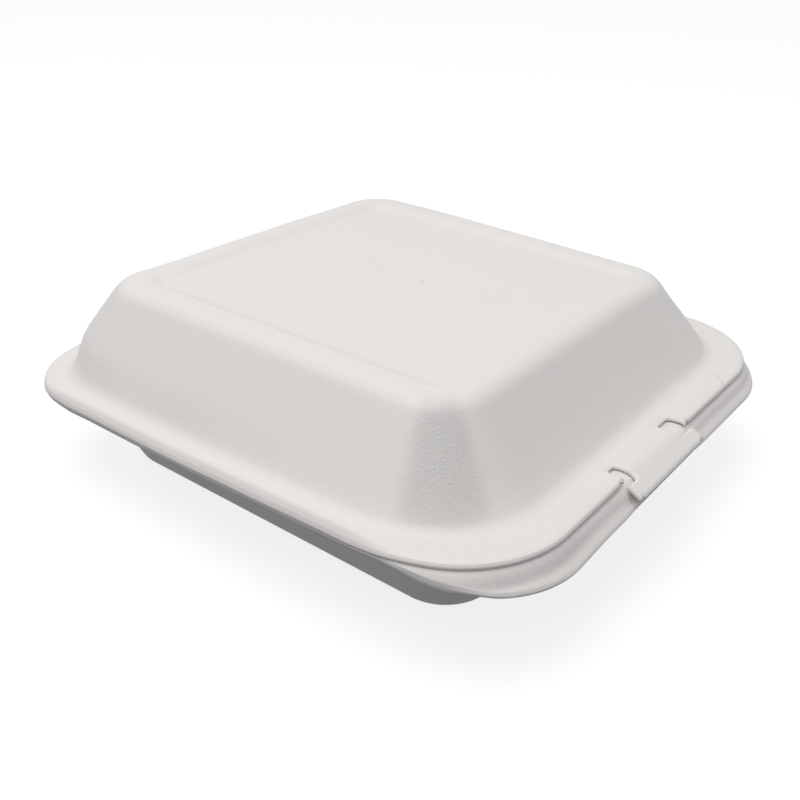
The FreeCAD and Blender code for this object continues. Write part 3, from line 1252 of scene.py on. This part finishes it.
def build_cell_group() -> bpy.types.NodeTree:
    """Foam cells: fine grain everywhere, and orange peel where the sheet was drawn thin.

    Returns:
        The group. It gives a height and a tone round 1.
    """
    graph, given, out = new_group(
        "foam_cells", {"Place": "Vector", "Cells": "Float", "Stretch": "Float"},
        {"Height": "Float", "Tone": "Float"},
    )
    grain_scale, broad_scale, peel_scale = 0.45, 26.0, 0.66
    fine_depth, grain_height, broad_height, lump_height = -0.16, 0.34, 1.4, 0.60
    grain_tone, lump_tone = 0.030, 0.05
    place, size, stretch = given["Place"], given["Cells"], given["Stretch"]
    fine = graph.cells(place, size).outputs["Distance"]
    grain = graph.noise(place, graph.maths("MULTIPLY", size, grain_scale), 1.0)
    broad = graph.noise(place, broad_scale, 0.0)
    peel = graph.cells(place, graph.maths("MULTIPLY", size, peel_scale)).outputs["Distance"]
    patch = graph.grade(broad, 0.40, 0.62)
    reach = graph.grade(stretch, 0.0, 0.4)
    drawn = graph.maths("MULTIPLY", reach, graph.maths("MULTIPLY_ADD", patch, 0.75, 0.25))
    height = graph.maths("MULTIPLY_ADD", fine, fine_depth, graph.maths("MULTIPLY", grain, grain_height))
    height = graph.maths("MULTIPLY_ADD", broad, broad_height, height)
    lumps = graph.maths("MULTIPLY", graph.grade(peel, 0.05, 0.42, 1.0, 0.0), drawn)
    graph.feed(out.inputs["Height"], graph.maths("MULTIPLY_ADD", lumps, lump_height, height))
    base_tone = graph.maths("MULTIPLY_ADD", broad, grain_tone, 1.0 - grain_tone)
    tone = graph.maths("MULTIPLY_ADD", grain, grain_tone, base_tone)
    graph.feed(out.inputs["Tone"], graph.maths("MULTIPLY_ADD", lumps, lump_tone, tone))
    return graph.tree


def build_mark_group() -> bpy.types.NodeTree:
    """Sparse pits and a speck, where single beads of foam broke at the skin.

    Returns:
        The group. It gives a mask of the pits and one of the speck. The pits' mask dents the bump and darkens
        the colour as painted shade.
    """
    graph, given, out = new_group(
        "foam_marks", {"Place": "Vector", "Spot": "Vector"}, {"Pits": "Float", "Speck": "Float"}
    )
    pit_scale, speck_core, speck_rim = 125.0, 0.0003, 0.0009
    cell = graph.cells(given["Place"], pit_scale)
    shade = graph.node("ShaderNodeSeparateColor")
    graph.feed(shade.inputs["Color"], cell.outputs["Color"])
    chosen = graph.grade(shade.outputs["Red"], 0.80, 0.84)
    dot = graph.grade(cell.outputs["Distance"], 0.045, 0.075, 1.0, 0.0)
    graph.feed(out.inputs["Pits"], graph.maths("MULTIPLY", chosen, dot))
    gap = graph.node("ShaderNodeVectorMath", operation="DISTANCE")
    graph.feed(gap.inputs[0], given["Place"])
    graph.feed(gap.inputs[1], given["Spot"])
    graph.feed(out.inputs["Speck"], graph.grade(gap.outputs["Value"], speck_core, speck_rim, 1.0, 0.0))
    return graph.tree


def build_fold_group() -> bpy.types.NodeTree:
    """A short pressed fold between two points.

    Returns:
        The group. It gives a mask of the fold, which dents the bump and darkens the colour as painted shade.
    """
    fold_width = 0.0011
    graph, given, out = new_group(
        "foam_fold", {"Place": "Vector", "Start": "Vector", "End": "Vector"}, {"Fold": "Float"}
    )

    def vector(operation: str, a: Value, b: Value, result: str = "Vector") -> bpy.types.NodeSocket:
        """One step with two vectors.

        Args:
            operation: What to do with them.
            a: First vector.
            b: Second vector.
            result: The name of the output.

        Returns:
            The result.
        """
        made = graph.node("ShaderNodeVectorMath", operation=operation)
        graph.feed(made.inputs[0], a)
        graph.feed(made.inputs[1], b)
        return made.outputs[result]

    line = vector("SUBTRACT", given["End"], given["Start"])
    arm = vector("SUBTRACT", given["Place"], given["Start"])
    along = vector("DOT_PRODUCT", arm, line, "Value")
    share = graph.maths("DIVIDE", along, vector("DOT_PRODUCT", line, line, "Value"))
    foot = graph.node("ShaderNodeVectorMath", operation="SCALE")
    graph.feed(foot.inputs[0], line)
    graph.feed(foot.inputs["Scale"], share)
    gap = vector("DISTANCE", arm, foot.outputs["Vector"], "Value")
    ends = graph.maths("MULTIPLY", graph.grade(share, 0.0, 0.3), graph.grade(share, 1.0, 0.7))
    graph.feed(out.inputs["Fold"], graph.maths("MULTIPLY", ends, graph.grade(gap, 0.0, fold_width, 1.0, 0.0)))
    return graph.tree


Colour = tuple[float, float, float]
Spot = tuple[float, float, float]
NOWHERE: Spot = (0.0, 0.0, -1.0)


@dataclass(frozen=True)
class Finish:
    """One foam surface: its colours, gloss, how coarse its cells are and how far its marks show."""

    name: str
    colour: Colour
    # Painted shade: the colour that the pits darken toward.
    hollow: Colour
    roughness: float
    cells: float
    relief: float
    # Painted shade: colour factor where the stretch mask is full, most across the near corner of the wall.
    stretch_shade_tone: float = 0.83
    stretch_gloss: float = 0.20
    tone_gloss: float = 1.2
    specular: float = 0.35
    pit_shade: float = 0.10
    pit_depth: float = 0.25
    # Painted shade: how far the colour darkens along the fold.
    fold_painted_shade: float = 0.07
    fold_depth: float = 1.2
    speck_colour: Colour = (0.25, 0.23, 0.21)
    speck_shade: float = 0.6
    speck: Spot = NOWHERE
    fold: tuple[Spot, Spot] = (NOWHERE, (0.0, 0.0, -0.9))


FOAM = (0.800, 0.776, 0.760)
# Painted shade colour in the pits.
PIT_SHADE_COLOUR = (0.600, 0.575, 0.555)
LID_FINISH = Finish(
    "lid_foam", FOAM, PIT_SHADE_COLOUR, 0.56, 1150.0, 0.00020,
    speck=(0.0040, -0.0021, 0.0805), fold=((0.067, -0.110, 0.0484), (0.058, -0.119, 0.0480)),
)
BASE_FINISH = Finish("base_foam", FOAM, PIT_SHADE_COLOUR, 0.60, 1050.0, 0.00022)
CREASE_FINISH = Finish("crease_foam", (0.770, 0.745, 0.728), PIT_SHADE_COLOUR, 0.46, 1900.0, 0.00012)


@dataclass
class Paint:
    """Makes the foam materials from shared node groups."""

    cells: bpy.types.NodeTree
    marks: bpy.types.NodeTree
    fold: bpy.types.NodeTree

    @classmethod
    def mixed(cls) -> "Paint":
        """Build the shared groups."""
        return cls(build_cell_group(), build_mark_group(), build_fold_group())

    def material(self, finish: Finish) -> bpy.types.Material:
        """Make one foam material.

        Args:
            finish: How this surface looks.

        Returns:
            The material.
        """
        made = bpy.data.materials.new(finish.name)
        made.use_nodes = True
        graph = Graph(made.node_tree)
        shader = made.node_tree.nodes["Principled BSDF"]
        place = graph.node("ShaderNodeTexCoord").outputs["Object"]
        stretch = graph.node("ShaderNodeAttribute", attribute_name="stretch").outputs["Fac"]

        def use(tree: bpy.types.NodeTree, **values: Value) -> bpy.types.Node:
            """Place a shared group with its own values.

            Args:
                tree: The group.
                values: Its inputs by name.

            Returns:
                The group's node.
            """
            group = graph.node("ShaderNodeGroup", node_tree=tree)
            for name, value in values.items():
                graph.feed(group.inputs[name], value)
            return group

        cells = use(self.cells, Place=place, Cells=finish.cells, Stretch=stretch)
        marks = use(self.marks, Place=place, Spot=finish.speck)
        fold = use(self.fold, Place=place, Start=finish.fold[0], End=finish.fold[1]).outputs["Fold"]
        # Painted shade: the colour darkens where the stretch mask is high, most across the near corner of the
        # wall.
        thin = graph.grade(stretch, 0.0, 1.0, 1.0, finish.stretch_shade_tone)
        tone = graph.maths("MULTIPLY", cells.outputs["Tone"], thin)
        # Painted shade along the pressed fold.
        tone = graph.maths("MULTIPLY", tone, graph.maths("MULTIPLY_ADD", fold, -finish.fold_painted_shade, 1.0))
        shade = graph.mix(tone, (0.0, 0.0, 0.0, 1.0), finish.colour + (1.0,))
        # Painted shade in the pits: their colour darkens toward the hollow colour.
        pits = graph.maths("MULTIPLY", marks.outputs["Pits"], finish.pit_shade)
        shade = graph.mix(pits, shade, finish.hollow + (1.0,))
        speck = graph.maths("MULTIPLY", marks.outputs["Speck"], finish.speck_shade)
        shade = graph.mix(speck, shade, finish.speck_colour + (1.0,))
        dents = graph.maths("MULTIPLY_ADD", marks.outputs["Pits"], -finish.pit_depth, cells.outputs["Height"])
        height = graph.maths("MULTIPLY_ADD", fold, -finish.fold_depth, dents)
        bump = graph.node("ShaderNodeBump")
        graph.feed(bump.inputs["Distance"], finish.relief)
        graph.feed(bump.inputs["Height"], height)
        least = finish.roughness + finish.tone_gloss
        rough = graph.maths("MULTIPLY_ADD", cells.outputs["Tone"], -finish.tone_gloss, least)
        rough = graph.maths("MULTIPLY_ADD", stretch, -finish.stretch_gloss, rough)
        graph.feed(shader.inputs["Base Color"], shade)
        graph.feed(shader.inputs["Roughness"], rough)
        graph.feed(shader.inputs["Normal"], bump.outputs["Normal"])
        shader.inputs["Specular IOR Level"].default_value = finish.specular
        return made


@dataclass(frozen=True)
class Camera:
    """The camera of the photograph."""

    place: tuple[float, float, float] = (-0.2985, -0.2253, 0.2281)
    azimuth: float = math.radians(-52.3)
    elevation: float = math.radians(28.6)
    roll: float = math.radians(1.0)
    focal_share: float = 950.0 / 800.0
    sensor_mm: float = 36.0

    def build(self) -> None:
        """Make the camera and set it as the scene's."""
        data = bpy.data.cameras.new("camera")
        data.sensor_width = self.sensor_mm
        data.lens = data.sensor_width * self.focal_share
        data.clip_start, data.clip_end = 0.01, 50.0
        a, e, r = self.azimuth, self.elevation, self.roll
        back = Vector((math.sin(a) * math.cos(e), -math.cos(a) * math.cos(e), math.sin(e)))
        level = Vector((math.cos(a), math.sin(a), 0.0))
        rise = back.cross(level)
        right = level * math.cos(r) + rise * math.sin(r)
        up = rise * math.cos(r) - level * math.sin(r)
        turn = Matrix((right, up, back)).transposed().to_4x4()
        camera = bpy.data.objects.new("camera", data)
        camera.matrix_world = Matrix.Translation(Vector(self.place)) @ turn
        bpy.context.scene.collection.objects.link(camera)
        bpy.context.scene.camera = camera


@dataclass(frozen=True)
class Lamp:
    """One soft area lamp that looks at the container."""

    name: str
    place: tuple[float, float, float]
    size: float
    watts: float

    def build(self) -> None:
        """Make the lamp."""
        data = bpy.data.lights.new(self.name, "AREA")
        data.shape = "DISK"
        data.size = self.size
        data.energy = self.watts
        lamp = bpy.data.objects.new(self.name, data)
        lamp.location = self.place
        aim = Vector((0.0, 0.0, 0.04)) - Vector(self.place)
        lamp.rotation_mode = "QUATERNION"
        lamp.rotation_quaternion = aim.to_track_quat("-Z", "Y")
        bpy.context.scene.collection.objects.link(lamp)


@dataclass(frozen=True)
class Studio:
    """Pale floor, white surround and soft lamps."""

    lamps: tuple[Lamp, ...] = (
        Lamp("lamp_above", (-0.45, 0.05, 1.6), 1.1, 12.0),
        Lamp("lamp_left", (-1.5, 0.3, 1.1), 0.9, 1.5),
    )
    world_level: float = 0.52
    floor_radius: float = 3.0
    floor_depth: float = 0.0002
    floor_corners: int = 96
    floor_tone: float = 0.035
    floor_seen: float = 0.28
    floor_glow: float = 0.80

    def build(self) -> None:
        """Make the floor, the world and the lamps."""
        bpy.context.scene.view_settings.view_transform = "Standard"
        self.build_floor()
        self.build_world()
        for lamp in self.lamps:
            lamp.build()

    @staticmethod
    def seen(tree: bpy.types.NodeTree) -> bpy.types.NodeSocket:
        """1 for rays that the camera or a reflection sees.

        Args:
            tree: The node tree to work in.

        Returns:
            The mask.
        """
        path = tree.nodes.new("ShaderNodeLightPath")
        total = path.outputs["Is Camera Ray"]
        for name in ("Is Glossy Ray", "Is Transmission Ray"):
            add = tree.nodes.new("ShaderNodeMath")
            add.operation = "MAXIMUM"
            tree.links.new(total, add.inputs[0])
            tree.links.new(path.outputs[name], add.inputs[1])
            total = add.outputs[0]
        return total

    def build_floor(self) -> None:
        """A round floor that keeps the container's shadow and looks white."""
        count, radius = self.floor_corners, self.floor_radius
        turns = np.linspace(0, 2 * math.pi, count, endpoint=False)
        ring = [(radius * math.cos(t), radius * math.sin(t), -self.floor_depth) for t in turns]
        mesh = bpy.data.meshes.new("floor")
        mesh.from_pydata(ring, [], [list(range(count))])
        floor = bpy.data.objects.new("floor", mesh)
        bpy.context.scene.collection.objects.link(floor)
        material = bpy.data.materials.new("floor")
        material.use_nodes = True
        tree = material.node_tree
        shader = tree.nodes["Principled BSDF"]
        mix = tree.nodes.new("ShaderNodeMix")
        mix.data_type = "RGBA"
        mix.inputs["A"].default_value = (self.floor_tone,) * 3 + (1.0,)
        mix.inputs["B"].default_value = (self.floor_seen,) * 3 + (1.0,)
        tree.links.new(self.seen(tree), mix.inputs["Factor"])
        tree.links.new(mix.outputs["Result"], shader.inputs["Base Color"])
        tree.links.new(self.seen(tree), shader.inputs["Emission Strength"])
        shader.inputs["Emission Color"].default_value = (self.floor_glow,) * 3 + (1.0,)
        shader.inputs["Roughness"].default_value = 1.0
        shader.inputs["Specular IOR Level"].default_value = 0.0
        mesh.materials.append(material)

    def build_world(self) -> None:
        """White to the camera, and a plain even light on the container."""
        world = bpy.data.worlds.new("surround")
        bpy.context.scene.world = world
        world.use_nodes = True
        tree = world.node_tree
        background = tree.nodes["Background"]
        background.inputs["Color"].default_value = (1.0, 1.0, 1.0, 1.0)
        spread = tree.nodes.new("ShaderNodeMapRange")
        spread.inputs["To Min"].default_value = self.world_level
        spread.inputs["To Max"].default_value = 1.0
        tree.links.new(self.seen(tree), spread.inputs["Value"])
        tree.links.new(spread.outputs["Result"], background.inputs["Strength"])


def main() -> None:
    """Build the pieces in order and set the stage."""
    logging.basicConfig(level=logging.INFO)
    Camera().build()
    Studio().build()
    paint = Paint.mixed()
    stations = Stations()
    halves = ((BaseShell.designed(stations), BASE_FINISH), (LidShell.designed(stations), LID_FINISH))
    for shell, finish in halves:
        piece = shell.make("foam_" + shell.half.value)
        piece.data.materials.append(paint.material(finish))
        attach(piece, shell.half.value)
        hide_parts(shell.half.value)
        LOG.info("%s: %d faces", piece.name, len(piece.data.polygons))
    crease = Crease()
    strip = crease.make("foam_crease")
    strip.data.materials.append(paint.material(CREASE_FINISH))
    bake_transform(strip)
    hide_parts("living_hinge")
    LOG.info("%s: %d faces", strip.name, len(strip.data.polygons))


if __name__ == "__main__":
    main()
